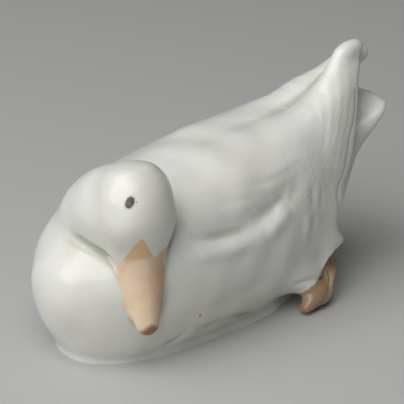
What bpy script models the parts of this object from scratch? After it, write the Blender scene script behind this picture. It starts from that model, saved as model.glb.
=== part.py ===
# Porcelain duck at rest, head turned to its left and bill down on the breast.
# One hollow slip-cast piece: breast and folded wings, neck, head, bill, tail, legs, webbed feet.
# Sizes are in millimetres. The duck faces -Y, its left side is +X, and it stands on Z = 0.

import math

import bmesh
import bpy
import numpy as np
from mathutils import Vector

MM = 0.001

# Driving sizes of the whole figurine. The tables below are drawn for a duck of
# DRAWN_SIZE, and are stretched to these along X, Y and Z before any form is made.
WIDTH = 83.7
LENGTH = 182.7
HEIGHT = 104.0
DRAWN_SIZE = (83.7, 182.7, 104.0)

# Wall of the casting, and the hole in its flat base that let the slip run out
WALL = 4.0
FLOOR_WALL = 5.0
VENT_RADIUS = 4.0
VENT_Y = -12.0
TAIL_SOLID = 25.2        # clay left solid at the thin end of the tail

# Breast and folded wings, from the front of the breast to the wings' rear rim.
# Each row: y, half width, z of the widest line, top z, bottom z, upper and lower
# squareness, backward lean of the section, depth of the valley between the wings,
# how far each wing's top ridge lies from the middle, and how much lower the right
# wing's ridge is.
BODY_ROWS = [
    (-74.1, 0.0, 33, 33, 33, 2.0, 2.0, 0.0, 0.0, 0.0, 0.0),
    (-72.5, 8.5, 33, 41, 21, 2.0, 2.0, 0.0, 0.0, 0.0, 0.0),
    (-67.5, 16.4, 33, 46.8, 10, 2.0, 2.0, 0.0, 0.0, 0.0, 0.0),
    (-60, 24.6, 34, 54.5, -1, 2.0, 2.0, 0.0, 0.0, 0.0, 0.0),
    (-48, 32.2, 35, 63.5, -6, 2.1, 2.1, 0.0, 0.0, 0.0, 0.0),
    (-28, 37.5, 36, 71.3, -9, 2.2, 2.1, 0.0, 0.0, 0.0, 0.0),
    (-4, 39.5, 37, 76.4, -9, 2.2, 2.1, 0.05, 0.0, 1.0, 0.0),
    (18, 39.0, 37, 79.2, -8, 2.1, 2.1, 0.12, 0.8, 5.0, 0.0),
    (36, 37.0, 36, 81.4, -6, 1.9, 2.1, 0.2, 3.0, 8.0, 0.5),
    (50, 33.8, 35, 86.8, -1, 1.65, 2.2, 0.29, 5.4, 8.4, 2.2),
    (58.5, 32.2, 34, 96.8, 6, 1.45, 2.2, 0.39, 5.8, 7.2, 5.2),
    (64, 30.6, 33, 102.5, 12, 1.3, 2.1, 0.49, 4.5, 5.0, 6.0),
]
VALLEY_SHARE = 0.68      # breadth of the valley within the two ridges
RIDGE_ROUNDING = 0.2     # share of the half section over which the top bends out to a ridge
DROP_BREADTH = 4.5       # over which the left ridge steps down to the right one
WING_EDGE = 3.4          # thickness of the wings' rear edge
WING_RECESS = 12.0       # how far the rump is set in behind that edge
RECESS_SHARE = 0.8       # size of the recess's floor beside its mouth

# Rump and tail. Each row: y, z, half width, half thickness, pitch in degrees.
TAIL_ROWS = [
    (30, 32, 24, 24, 0),
    (48, 36, 27.5, 26, 12),
    (64, 43, 26.4, 21.8, 25),
    (78, 51.5, 19.6, 14.4, 36),
    (90, 60.5, 15.8, 8.6, 40),
    (99, 67.5, 16.4, 5.4, 40),
    (105, 72.2, 16, 3.8, 40),
    (108, 74.6, 13.2, 2.3, 40),
    (109.2, 75.6, 9.0, 0.9, 40),
]
TAIL_SQUARENESS = 0.85   # under 1 makes the tail's section squarer than an ellipse

# Head: its axis runs from the back of the crown down the bill. Each row: distance
# along the axis, half width, reach towards the crown, reach towards the throat.
CROWN_BACK = (20.0, -45.0, 91.1)
BILL_WAY = (0.23, -0.035, -0.975)
CROWN_WAY = (0.883, -0.469, 0.0)
HEAD_ROWS = [
    (0.0, 0.0, 0.0, 0.0),
    (1.2, 7.0, 7.0, 7.0),
    (5.0, 12.6, 13.0, 12.8),
    (11.0, 16.2, 17.0, 16.4),
    (18.0, 17.4, 18.6, 17.4),
    (25.0, 17.2, 18.0, 16.6),
    (30.0, 15.9, 15.6, 15.2),
    (34.0, 14.0, 12.4, 13.8),
    (38.5, 11.6, 9.2, 11.6),
    (43.0, 9.4, 6.2, 8.8),
]
BILL_ROWS = [
    (32.0, 10.4, 9.0, 8.0),
    (35.5, 11.2, 9.2, 7.8),
    (39.0, 11.0, 8.6, 7.2),
    (43.5, 9.4, 7.4, 6.2),
    (50.3, 8.4, 6.0, 4.8),
    (61.0, 6.9, 4.2, 3.8),
    (67.5, 5.6, 3.2, 3.2),
    (71.8, 4.2, 2.4, 2.6),
    (74.0, 1.6, 1.0, 1.2),
]
BILL_CREST = 2.2         # squareness of the bill's top face

# Neck: radius at each point of its way up from the breast and round into the head
NECK_WAY = [
    (-5, -26, 34, 27),
    (-6, -34, 45, 23),
    (-3, -40.5, 53, 20),
    (3.8, -44, 60.8, 18.3),
    (11.6, -46, 68.2, 17.9),
    (19.5, -47.4, 73.2, 17.2),
]

# Blunt tips that end the wings' ridges: x, y, z and radius
LEFT_TIP_WAY = [
    (6.2, 70, 85.5, 3.6), (5.6, 80, 92.8, 4.2), (4.8, 88.5, 98.8, 4.3),
    (4.2, 95.5, 100.1, 4.0), (3.8, 99.3, 99.6, 3.1),
]
RIGHT_TIP_WAY = [
    (-5, 84, 87.5, 4.4), (-3.6, 95, 91.8, 4.6), (-1.6, 103.5, 94.0, 4.4), (-0.8, 107.6, 94.0, 2.8),
]
# Clay that runs on below each tip down to the wing's rear edge
LEFT_BLADE_WAY = [(10.5, 82, 84, 3.4), (8, 88, 90, 3.4), (6, 94, 95.6, 3.2)]
RIGHT_BLADE_WAY = [(-9, 82, 80, 3.6), (-7, 89.5, 84.5, 3.8), (-5, 96.5, 88, 3.6), (-3.2, 102, 90.6, 3.0)]

# Left leg and foot, mirrored for the right: x, y, z and radius along each one
TUFT_WAY = [(24, 50, 28, 8.5), (28.5, 61, 26.5, 6.5), (30.5, 68, 25.5, 2.2)]
THIGH_WAY = [(21.5, 28, 22, 9.6), (26.5, 38, 17, 10.2), (29.5, 46, 15.4, 8), (31, 52, 17, 4.5)]
SHANK_WAY = [(27, 55, 24, 6), (31, 56.5, 18, 4.4), (33, 54.5, 12, 4.0), (33.8, 52, 7, 4.2)]
TOE_WAYS = [
    [(33, 53, 8, 4.4), (35.4, 45.4, 6, 4.3), (37.2, 39.4, 4.2, 3.7), (38, 36, 2.7, 2.4)],
    [(33.5, 53, 7, 4.2), (36.6, 50, 5, 3.5), (38.2, 46.8, 3, 2.1)],
    [(32, 53, 7, 4.2), (30.6, 47, 4.6, 3.2), (29.4, 43.2, 2.4, 1.7)],
]
WEB_WAY = [(33.5, 53, 8.5, 4.8), (35, 47.5, 7, 5.2), (36.2, 42.8, 5.4, 4.4), (37, 39.6, 4.2, 3.0)]

# Ledge of clay under the breast and belly that the duck stands on
LEDGE_FRONT = -63.0
LEDGE_REAR = 57.0
LEDGE_HALF_WIDTH = 28.8
LEDGE_HEIGHT = 4.6
LEDGE_SQUARENESS = (0.9, 0.76)   # of its front and rear halves

# Modelled folds and swellings of the left wing and flank, mirrored for the right.
# Each: height (negative is a furrow), half breadth, points along it.
FLANK_FOLDS = [
    (-2.3, 5.6, [(30, -27, 60), (33, -19, 55), (34.5, -9, 52.6), (35, 1, 52.6), (34.5, 13, 55),
     (34, 25, 56.5), (32.5, 35, 60), (30, 43, 64)]),
    (1.3, 4.2, [(35.5, -28, 50), (37.6, -18, 47.5), (37.7, -5, 46.5), (38.5, 8, 46)]),
    (1.5, 4.4, [(38.5, 14, 46), (37.5, 22, 50), (36, 30, 54.5)]),
    (-0.9, 2.2, [(32.4, 46.4, 56), (33.4, 45.4, 49.5)]),
    (-0.6, 2.0, [(31, 52, 53), (32, 51.5, 47)]),
    (-0.7, 2.4, [(34, 45.5, 44), (34.6, 45, 38)]),
    (0.8, 3.0, [(35, 40, 48), (35.5, 40, 36)]),
    (-0.9, 5.5, [(36, -22, 19), (37, -6, 21), (37, 8, 22), (36, 20, 20)]),
    (-0.8, 2.2, [(27, -33, 5.1), (29, -30, 6.8), (30, -28, 7.8), (31, -26, 9.5), (33, -24, 12.0)]),
    (-1.0, 2.4, [(34, -25, 14.9), (34, -21, 13.8), (33, -17, 10.7), (32, -11, 9.7),
     (33, -7, 10.1), (32, -1, 9.3), (31, 7, 7.3), (28, 16, 3.5), (27, 22, 3.1), (26, 27, 2.8)]),
]
THROAT_FOLD = (-1.5, 2.4, [(3, -63, 57.5), (9, -62, 57), (14, -60.5, 55.5), (19, -59, 53), (25, -57, 49)])

FOLD_FADE = 0.25         # share of its way over which a fold fades at each end
FOLD_END = 0.25          # height left at its ends, as a share
FOLD_REACH = 7.0         # how far off its drawn way a fold still counts, past its breadth
FOLD_LIMIT = 4.0         # over which it then dies away

# Feather furrows, fanned along the wing's rear edge from the tip down
FEATHER_EDGE = [(6, 92, 95), (11, 87, 86), (16, 81, 76), (22, 73, 65), (28, 66, 52)]
FEATHER_COUNT = 5
FEATHER_PITCH = 4.6
FEATHER_LEAN = 0.16      # how far each furrow steps outwards, as a share of the pitch
FEATHER_FIRST = 0.8      # distance of the first furrow from the edge, as a share of the pitch
FEATHER_DEPTH = 0.4
FEATHER_HALF_BREADTH = 1.15

# Where the joins between the forms are rubbed smooth, and how widely. Those at the
# rear are the same on both sides.
FRONT_JOINS = [
    (11.0, [(-18, -46, 64), (-8, -32, 71), (4, -29, 74), (14, -29, 74), (24, -31, 70)]),
    (12.0, [(-22, -50, 52), (-16, -58, 49), (-8, -62, 50)]),
    (13.0, [(12, -62, 62), (10, -61, 72), (8, -52, 84), (9, -40, 86), (10, -31, 76)]),
    (13.0, [(0, -73, 22), (0, -73, 40)]),
]
REAR_JOINS = [
    (7.0, [(26, 36, 30), (33, 44, 26), (33, 54, 30), (31, 62, 33), (36, 34, 14)]),
    (6.0, [(22, 70, 48), (20, 70, 30), (14, 66, 20)]),
    (5.0, [(7, 70, 88), (7, 78, 93), (6.5, 84, 95)]),
    (6.0, [(8, 80, 93), (10, 66, 88.5), (12, 52, 84.5), (13, 40, 81.5)]),
]
JOIN_REACH = 1.5         # how far past its radius a join is still rubbed
JOIN_STRENGTH = 1.6      # over 1 rubs its middle fully
JOIN_ROUNDS = 60
ALL_ROUNDS = 3
HOLLOW_ROUNDS = 4
RUB = 0.5                # how far each round draws a point towards its neighbours

# Surface resolution
VOXEL = 1.4
HOLLOW_VOXEL = 3.0
SKIN_TRIANGLES = 9900
HOLLOW_TRIANGLES = 1500
SHARP_ANGLE = 50.0       # edges of the base and the vent hole stay crisp

PORCELAIN = (0.745, 0.753, 0.723, 1.0)
PORCELAIN_ROUGHNESS = 0.2


def clear_scene():
    for item in list(bpy.data.objects):
        bpy.data.objects.remove(item)


def through(rows, at):
    """Smooth curve through the rows' values; the first column is the distance."""
    table = np.asarray(rows, float)
    knots = table[:, 0]
    values = table[:, 1:]
    slope = np.gradient(values, knots, axis=0)
    i = np.clip(np.searchsorted(knots, at, side="right") - 1, 0, len(knots) - 2)
    span = (knots[i + 1] - knots[i])[:, None]
    t = (at - knots[i])[:, None] / span
    rise = t * t * (3 - 2 * t)
    leave = t * (1 - t) ** 2
    arrive = -t * t * (1 - t)
    return values[i] * (1 - rise) + values[i + 1] * rise + span * (leave * slope[i] + arrive * slope[i + 1])


def stretch(table, columns):
    """The table stretched to the driving sizes; columns says what each one measures.

    x, y and z are lengths along those axes, r is a radius, s is a slope of y over z,
    and a dash is a column that stays as drawn.
    """
    across, along, up = np.array([WIDTH, LENGTH, HEIGHT]) / DRAWN_SIZE
    even = (across * along * up) ** (1 / 3)
    factor = {"x": across, "y": along, "z": up, "r": even, "s": along / up, "-": 1.0}
    return np.asarray(table, float) * [factor[column] for column in columns]


def body_rows():
    return stretch(BODY_ROWS, "yxzzz--szxz")


def signed_power(value, exponent):
    return np.sign(value) * np.abs(value) ** exponent


def circle(count):
    return np.linspace(0.0, 2 * math.pi, count, endpoint=False)[None, :]


def body_rings(inset, steps=80, around=88):
    """Superellipse sections across the body, sheared backwards by their lean."""
    rows = body_rows()
    y = np.linspace(rows[0, 0], rows[-1, 0], steps)
    columns = (column[:, None] for column in through(rows, y).T)
    half, wide_z, top, bottom, up, down, lean, valley, ridge, drop = columns
    angle = circle(around)
    cosine = np.cos(angle)
    sine = np.sin(angle)
    upper = sine >= 0
    exponent = 2 / np.where(upper, up, down)
    ridge = np.where(upper, np.clip(ridge, 0, None), 0.0)
    flat_top = np.sign(cosine) * ridge * np.minimum(np.abs(cosine) / RIDGE_ROUNDING, 1)
    x = flat_top + np.maximum(half - ridge - inset, 0.0) * signed_power(cosine, exponent)
    reach = np.where(upper, top - wide_z - inset, wide_z - bottom - inset)
    z = wide_z + np.maximum(reach, 0.0) * signed_power(sine, exponent)
    z = z - np.where(upper, valley * np.exp(-((x / (VALLEY_SHARE * ridge + 1)) ** 2)), 0.0)
    z = z - np.where(upper, drop * (0.5 - 0.5 * np.tanh(x / DROP_BREADTH)) * sine, 0.0)
    y = y[:, None] + np.clip(lean, 0, None) * (z - wide_z)
    return np.stack([x, y, z], -1)


def with_rear_recess(rings):
    """Turns the last ring inwards, so that the wings end in an edge over the rump."""
    rim = rings[-1]
    centre = rim.mean(0)
    size = np.linalg.norm(rim - centre, axis=1, keepdims=True)
    lip = centre + (rim - centre) * (1 - WING_EDGE / np.maximum(size, WING_EDGE * 2))
    deep = centre + (lip - centre) * RECESS_SHARE - np.array([0, WING_RECESS, 0])
    return np.concatenate([rings, [lip, deep]])


def tail_rings(inset, steps=48, around=48):
    rows = stretch(TAIL_ROWS, "yzxz-")
    y = np.linspace(rows[0, 0], rows[-1, 0], steps)
    z, half, thick, pitch = (c[:, None] for c in through(rows, y).T)
    angle = circle(around)
    across = np.maximum(half - inset, 0.2) * signed_power(np.cos(angle), TAIL_SQUARENESS)
    up = np.maximum(thick - inset, 0.2) * np.sin(angle)
    tilt = np.radians(pitch)
    return np.stack([across, y[:, None] - np.sin(tilt) * up, z + np.cos(tilt) * up], -1)


def head_frame():
    """Back of the crown, and unit vectors down the bill, to the crown and to the duck's left."""
    down = Vector(BILL_WAY).normalized()
    crown = Vector(CROWN_WAY)
    crown = (crown - crown.dot(down) * down).normalized()
    return stretch(CROWN_BACK, "xyz"), np.array(down), np.array(crown), np.array(crown.cross(down))


def head_rings(rows, inset, crest=2.0, steps=44, around=52):
    rows = stretch(rows, "zrrr")
    distance = np.linspace(rows[0, 0], rows[-1, 0], steps)
    half, front, back = (c[:, None] for c in through(rows, distance).T)
    angle = circle(around)
    cosine = np.cos(angle)
    sine = np.sin(angle)
    reach = np.where(cosine >= 0, front, back)
    exponent = np.where(cosine >= 0, 2 / crest, 1.0)
    along_crown = np.maximum(reach - inset, 0.1) * signed_power(cosine, exponent)
    across = np.maximum(half - inset, 0.1) * sine
    origin, down, crown, side = head_frame()
    return (
        origin
        + distance[:, None, None] * down
        + along_crown[..., None] * crown
        + across[..., None] * side
    )


def way_rings(way, inset=0.0, steps=26, around=28):
    """Round tube along a way of x, y, z and radius, with rings square to the way."""
    points = stretch(way, "xyzr")
    lengths = np.linalg.norm(np.diff(points[:, :3], axis=0), axis=1)
    distance = np.concatenate([[0], np.cumsum(lengths)])
    at = np.linspace(0, distance[-1], steps)
    smooth = through(np.column_stack([distance, points]), at)
    centres = smooth[:, :3]
    tangents = np.gradient(centres, axis=0)
    rings = []
    side = Vector((0, 0, 1)).cross(Vector(tangents[0]))
    if side.length < 1e-6:
        side = Vector((1, 0, 0))
    angle = circle(around)[0]
    for centre, tangent, radius in zip(centres, tangents, smooth[:, 3]):
        forward = Vector(tangent).normalized()
        side = (side - side.dot(forward) * forward).normalized()
        up = forward.cross(side)
        ring = np.outer(np.cos(angle), side) + np.outer(np.sin(angle), up)
        rings.append(centre + ring * max(radius - inset, 0.3))
    return np.array(rings)


def ledge_rings(steps=10, around=72):
    """Rounded oval pad, half sunk below the base plane."""
    ledge = [LEDGE_HALF_WIDTH, LEDGE_FRONT, LEDGE_REAR, LEDGE_HEIGHT]
    half_width, front, rear, height = stretch(ledge, "xyyz")
    angle = circle(around)
    level = np.linspace(-1, 1, steps)[:, None]
    drawn_in = height * (1 - np.sqrt(1 - np.clip(level, 0, 1) ** 2))
    square = np.where(np.sin(angle) < 0, *LEDGE_SQUARENESS)
    x = (half_width - drawn_in) * signed_power(np.cos(angle), square)
    y = (front + rear) / 2 + ((rear - front) / 2 - drawn_in) * signed_power(np.sin(angle), square)
    return np.stack([x, y, level * height + 0 * x], -1)


def mirrored(rings):
    return rings * np.array([-1, 1, 1])


def outer_forms():
    forms = {
        "body": with_rear_recess(body_rings(0.0)),
        "tail": tail_rings(0.0),
        "neck": way_rings(NECK_WAY, steps=40, around=52),
        "head": head_rings(HEAD_ROWS, 0.0),
        "bill": head_rings(BILL_ROWS, 0.0, BILL_CREST),
        "ledge": ledge_rings(),
        "left_tip": way_rings(LEFT_TIP_WAY),
        "right_tip": way_rings(RIGHT_TIP_WAY),
        "left_blade": way_rings(LEFT_BLADE_WAY),
        "right_blade": way_rings(RIGHT_BLADE_WAY),
    }
    for index, way in enumerate([TUFT_WAY, THIGH_WAY, SHANK_WAY, WEB_WAY, *TOE_WAYS]):
        rings = way_rings(way)
        forms[f"left_limb_{index}"] = rings
        forms[f"right_limb_{index}"] = mirrored(rings)
    return forms


def hollow_forms():
    """The same forms drawn in by the wall, and kept above the floor of the casting."""
    body = body_rings(WALL, steps=40, around=48)
    along = body[:, 0, 1]
    rows = body_rows()
    front = rows[0, 0] + WALL
    rear = rows[-1, 0] - WING_RECESS - WALL
    tail = tail_rings(WALL, steps=24, around=32)
    forms = [
        body[(along > front) & (along < rear)],
        tail[tail[:, :, 1].max(1) < tail[-1, :, 1].max() - TAIL_SOLID],
        way_rings(NECK_WAY, WALL, steps=20),
        head_rings(HEAD_ROWS[2:-1], WALL, steps=20, around=28),
    ]
    return [np.concatenate([form[..., :2], np.maximum(form[..., 2:], FLOOR_WALL)], -1) for form in forms]


def add_form(mesh, rings):
    """Skins the rings with quads and closes both ends on their centre points."""
    rows = [[mesh.verts.new(point * MM) for point in ring] for ring in rings]
    faces = []
    for row, following in zip(rows, rows[1:]):
        for k in range(len(row)):
            m = (k + 1) % len(row)
            faces.append(mesh.faces.new((row[k], row[m], following[m], following[k])))
    for row, ring in ((rows[0], rings[0]), (rows[-1], rings[-1])):
        tip = mesh.verts.new(ring.mean(0) * MM)
        for k in range(len(row)):
            faces.append(mesh.faces.new((row[k], row[(k + 1) % len(row)], tip)))
    bmesh.ops.recalc_face_normals(mesh, faces=faces)


def clay_object(name, forms):
    mesh = bmesh.new()
    for rings in forms:
        add_form(mesh, rings)
    data = bpy.data.meshes.new(name)
    mesh.to_mesh(data)
    mesh.free()
    item = bpy.data.objects.new(name, data)
    bpy.context.scene.collection.objects.link(item)
    return item


def applied(item):
    """Replaces the object's mesh by its evaluated mesh, with the modifiers used up."""
    bpy.context.view_layer.update()
    graph = bpy.context.evaluated_depsgraph_get()
    data = bpy.data.meshes.new_from_object(item.evaluated_get(graph))
    item.modifiers.clear()
    item.data = data
    return item


def fused(item, voxel):
    """Joins the overlapping forms into one closed skin."""
    join = item.modifiers.new("fuse", "REMESH")
    join.mode = "VOXEL"
    join.voxel_size = voxel * MM
    join.use_smooth_shade = True
    return applied(item)


def positions(item):
    flat = np.empty(len(item.data.vertices) * 3)
    item.data.vertices.foreach_get("co", flat)
    return flat.reshape(-1, 3) / MM


def distance_to_way(points, way):
    """Distance of each point from a polyline, and how far along it the nearest place is."""
    way = np.asarray(way, float)
    best = np.full(len(points), np.inf)
    share = np.zeros(len(points))
    legs = np.linalg.norm(np.diff(way, axis=0), axis=1)
    total = legs.sum()
    passed = 0.0
    for start, end, leg in zip(way[:-1], way[1:], legs):
        t = np.clip((points - start) @ (end - start) / leg**2, 0, 1)
        distance = np.linalg.norm(points - start - t[:, None] * (end - start), axis=1)
        nearer = distance < best
        best = np.where(nearer, distance, best)
        share = np.where(nearer, (passed + t * leg) / total, share)
        passed += leg
    return best, share


def fold(points, height, half_breadth, way, drawn_axis):
    """Height of one fold: a bell across the way, fading at both ends.

    The distance is measured with one axis left out, so that the fold keeps its
    breadth where the surface curves away; only points near the way in space count.
    """
    way = stretch(way, "xyz")
    near, _ = distance_to_way(points, way)
    flat = points.copy()
    flat[:, drawn_axis] = 0
    flat_way = way.copy()
    flat_way[:, drawn_axis] = 0
    distance, share = distance_to_way(flat, flat_way)
    fade = np.clip(share / FOLD_FADE, 0, 1) * np.clip((1 - share) / FOLD_FADE, 0, 1)
    reach = np.clip((half_breadth * 2 + FOLD_REACH - near) / FOLD_LIMIT, 0, 1)
    bell = np.exp(-((distance / half_breadth) ** 2))
    return height * bell * (FOLD_END + (1 - FOLD_END) * fade) * reach


def feather_ways():
    """Copies of the wing's rear edge, stepped forwards and each a little shorter."""
    edge = np.asarray(FEATHER_EDGE, float)
    for index in range(FEATHER_COUNT):
        shift = np.array([FEATHER_PITCH * FEATHER_LEAN, -FEATHER_PITCH, 0]) * (index + FEATHER_FIRST)
        low = len(edge) - index // 2
        yield edge[:low] + shift


def relief(points):
    """How far each point is raised or sunk by the folds, on both flanks alike."""
    left = np.abs(points * [1, 0, 0]) + points * [0, 1, 1]
    height = np.zeros(len(points))
    for rise, half_breadth, way in FLANK_FOLDS:
        height += fold(left, rise, half_breadth, way, 0)
    for way in feather_ways():
        height += fold(left, -FEATHER_DEPTH, FEATHER_HALF_BREADTH, way, 0)
    height += fold(points, *THROAT_FOLD, 1)
    return height


def join_weight(points):
    weight = np.zeros(len(points))
    joins = [(radius, way, points) for radius, way in FRONT_JOINS + REAR_JOINS]
    joins += [(radius, way, mirrored(points)) for radius, way in REAR_JOINS]
    for radius, way, side in joins:
        distance, _ = distance_to_way(side, stretch(way, "xyz"))
        rubbed = JOIN_STRENGTH * (1 - distance / (radius * JOIN_REACH))
        weight = np.maximum(weight, np.clip(rubbed, 0, 1))
    return weight


def add_weights(item, name, weights):
    group = item.vertex_groups.new(name=name)
    for index in np.nonzero(weights > 0.001)[0]:
        group.add([int(index)], float(weights[index]), "REPLACE")


def smooth(item, name, rounds, group=""):
    step = item.modifiers.new(name, "SMOOTH")
    step.factor = RUB
    step.iterations = rounds
    step.vertex_group = group


def raise_by(item, group, height):
    step = item.modifiers.new(group, "DISPLACE")
    step.direction = "NORMAL"
    step.mid_level = 0.0
    step.strength = height * MM
    step.vertex_group = group


def thin_to(item, triangles):
    """Collapses short edges until the skin has about this many triangles."""
    item.data.calc_loop_triangles()
    step = item.modifiers.new("thin", "DECIMATE")
    step.ratio = min(1.0, triangles / len(item.data.loop_triangles))
    step.use_collapse_triangulate = True


def cutter(name, item):
    item.name = name
    item.hide_render = True
    item.display_type = "WIRE"
    return item


def cut_by(item, tool):
    step = item.modifiers.new(tool.name, "BOOLEAN")
    step.operation = "DIFFERENCE"
    step.solver = "EXACT"
    step.object = tool


def porcelain():
    material = bpy.data.materials.new("white_glazed_porcelain")
    material.use_nodes = True
    shader = material.node_tree.nodes["Principled BSDF"]
    shader.inputs["Base Color"].default_value = PORCELAIN
    shader.inputs["Roughness"].default_value = PORCELAIN_ROUGHNESS
    shader.inputs["Metallic"].default_value = 0.0
    return material


def duck_skin():
    """Fused forms, rubbed smooth at the joins, with the folds raised and sunk."""
    duck = fused(clay_object("duck", outer_forms().values()), VOXEL)
    add_weights(duck, "joins", join_weight(positions(duck)))
    smooth(duck, "rub_joins", JOIN_ROUNDS, "joins")
    smooth(duck, "rub_all", ALL_ROUNDS)
    applied(duck)
    duck.vertex_groups.clear()
    height = relief(positions(duck))
    deepest = max(-height.min(), 0.1)
    highest = max(height.max(), 0.1)
    add_weights(duck, "furrows", -height / deepest)
    add_weights(duck, "swellings", height / highest)
    raise_by(duck, "furrows", -deepest)
    raise_by(duck, "swellings", highest)
    applied(duck)
    thin_to(duck, SKIN_TRIANGLES)
    return applied(duck)


def hollow_cutter():
    hollow = fused(clay_object("hollow", hollow_forms()), HOLLOW_VOXEL)
    smooth(hollow, "rub_all", HOLLOW_ROUNDS)
    applied(hollow)
    thin_to(hollow, HOLLOW_TRIANGLES)
    return cutter("hollow", applied(hollow))


def ground_cutter():
    """A block below the plane that the duck stands on."""
    bpy.ops.mesh.primitive_cube_add(size=2 * LENGTH * MM, location=(0, 0, -LENGTH * MM))
    return cutter("ground", bpy.context.object)


def vent_cutter():
    place = Vector(stretch((0, VENT_Y, 0), "xyz")) * MM
    bpy.ops.mesh.primitive_cylinder_add(
        vertices=32, radius=VENT_RADIUS * MM, depth=4 * FLOOR_WALL * MM, location=place
    )
    return cutter("vent", bpy.context.object)


def build_duck():
    duck = duck_skin()
    duck.data.materials.clear()
    duck.data.materials.append(porcelain())
    tools = [ground_cutter(), hollow_cutter(), vent_cutter()]
    for tool in tools:
        cut_by(duck, tool)
    applied(duck)
    duck.data.shade_smooth()
    duck.data.set_sharp_from_angle(angle=math.radians(SHARP_ANGLE))
    place = positions(duck)
    low, high = place.min(0), place.max(0)
    figure = bpy.data.objects.new("figure", None)
    bpy.context.scene.collection.objects.link(figure)
    figure.location = (-(low[0] + high[0]) / 2 * MM, -(low[1] + high[1]) / 2 * MM, -low[2] * MM)
    for item in [duck, *tools]:
        item.parent = figure
    return duck


clear_scene()
build_duck()
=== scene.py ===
# White porcelain duck lying on its belly, head turned to its left, bill down on the breast.
# One glazed casting: its skin is one closed surface, and eyes, bill and feet are colours on it.
# Tables are in millimetres. The duck faces -Y, its left side is +X, and it stands on Z = 0.
import math

import bmesh
import bpy
import numpy as np
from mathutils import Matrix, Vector


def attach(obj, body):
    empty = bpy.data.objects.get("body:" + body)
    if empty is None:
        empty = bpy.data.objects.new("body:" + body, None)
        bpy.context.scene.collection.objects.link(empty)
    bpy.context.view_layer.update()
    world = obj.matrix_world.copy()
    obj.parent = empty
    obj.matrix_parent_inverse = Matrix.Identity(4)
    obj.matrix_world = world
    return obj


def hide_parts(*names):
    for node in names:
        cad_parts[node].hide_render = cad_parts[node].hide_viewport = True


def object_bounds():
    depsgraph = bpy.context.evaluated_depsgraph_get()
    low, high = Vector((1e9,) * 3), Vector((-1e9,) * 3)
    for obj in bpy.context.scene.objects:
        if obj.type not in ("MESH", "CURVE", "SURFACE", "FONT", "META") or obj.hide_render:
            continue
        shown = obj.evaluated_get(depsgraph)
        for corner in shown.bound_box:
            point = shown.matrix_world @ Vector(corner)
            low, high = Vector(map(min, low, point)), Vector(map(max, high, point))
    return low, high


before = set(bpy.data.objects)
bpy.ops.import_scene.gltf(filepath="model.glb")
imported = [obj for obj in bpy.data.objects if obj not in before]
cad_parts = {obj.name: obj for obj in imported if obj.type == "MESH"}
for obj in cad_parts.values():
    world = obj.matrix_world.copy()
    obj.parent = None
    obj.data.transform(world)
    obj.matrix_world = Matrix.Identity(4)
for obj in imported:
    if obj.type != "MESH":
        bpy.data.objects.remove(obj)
cadLow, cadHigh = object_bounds()
mm = 0.001


# Smooth curve through the rows of a table. Its first column is the distance t, and
# between two rows the rest is a cubic with the rows' own slopes.
def through(rows, at):
    table = np.asarray(rows, float)
    knots, values = table[:, 0], table[:, 1:]
    slope = np.gradient(values, knots, axis=0)
    i = np.clip(np.searchsorted(knots, at, side="right") - 1, 0, len(knots) - 2)
    span = (knots[i + 1] - knots[i])[:, None]
    t = (at - knots[i])[:, None] / span
    rise = t * t * (3 - 2 * t)
    bend = span * (t * (1 - t) ** 2 * slope[i] - t * t * (1 - t) * slope[i + 1])
    return values[i] * (1 - rise) + values[i + 1] * rise + bend


# Keeps the sign and raises the size to a power: the step from an ellipse to a squarer oval.
def signedPower(value, exponent):
    return np.sign(value) * np.abs(value) ** exponent


def circle(count):
    return np.linspace(0, 2 * math.pi, count, endpoint=False)[None, :]


body = {
    # y, half width, widest z, top z, bottom z, upper and lower squareness, backward lean,
    # valley between the wings, ridge's distance from the middle, drop of the right ridge
    "rows": [
        (-74.1, 0.0, 33, 33, 33, 2.0, 2.0, 0.0, 0.0, 0.0, 0.0),
        (-72.5, 8.5, 33, 41, 21, 2.0, 2.0, 0.0, 0.0, 0.0, 0.0),
        (-67.5, 16.4, 33, 46.8, 10, 2.0, 2.0, 0.0, 0.0, 0.0, 0.0),
        (-60, 24.6, 34, 54.5, -1, 2.0, 2.0, 0.0, 0.0, 0.0, 0.0),
        (-48, 32.2, 35, 63.5, -6, 2.1, 2.1, 0.0, 0.0, 0.0, 0.0),
        (-28, 37.5, 36, 71.3, -9, 2.2, 2.1, 0.0, 0.0, 0.0, 0.0),
        (-4, 39.5, 37, 76.4, -9, 2.2, 2.1, 0.05, 0.0, 1.0, 0.0),
        (18, 39.0, 37, 79.2, -8, 2.1, 2.1, 0.12, 0.8, 5.0, 0.0),
        (36, 37.0, 36, 81.4, -6, 1.9, 2.1, 0.2, 3.0, 8.0, 0.5),
        (50, 33.8, 35, 86.8, -1, 1.65, 2.2, 0.29, 5.4, 8.4, 2.2),
        (58.5, 32.2, 34, 96.8, 6, 1.45, 2.2, 0.39, 5.8, 7.2, 5.2),
        (64, 30.6, 33, 102.5, 12, 1.3, 2.1, 0.49, 4.5, 5.0, 6.0),
    ],
    "valleyShare": 0.68, "ridgeRounding": 0.2, "dropBreadth": 4.5,
    "wingEdge": 3.4, "wingRecess": 12.0, "recessShare": 0.8,
    "wall": 4.0, "floorWall": 5.0, "tailSolid": 25.2,
}


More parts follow.
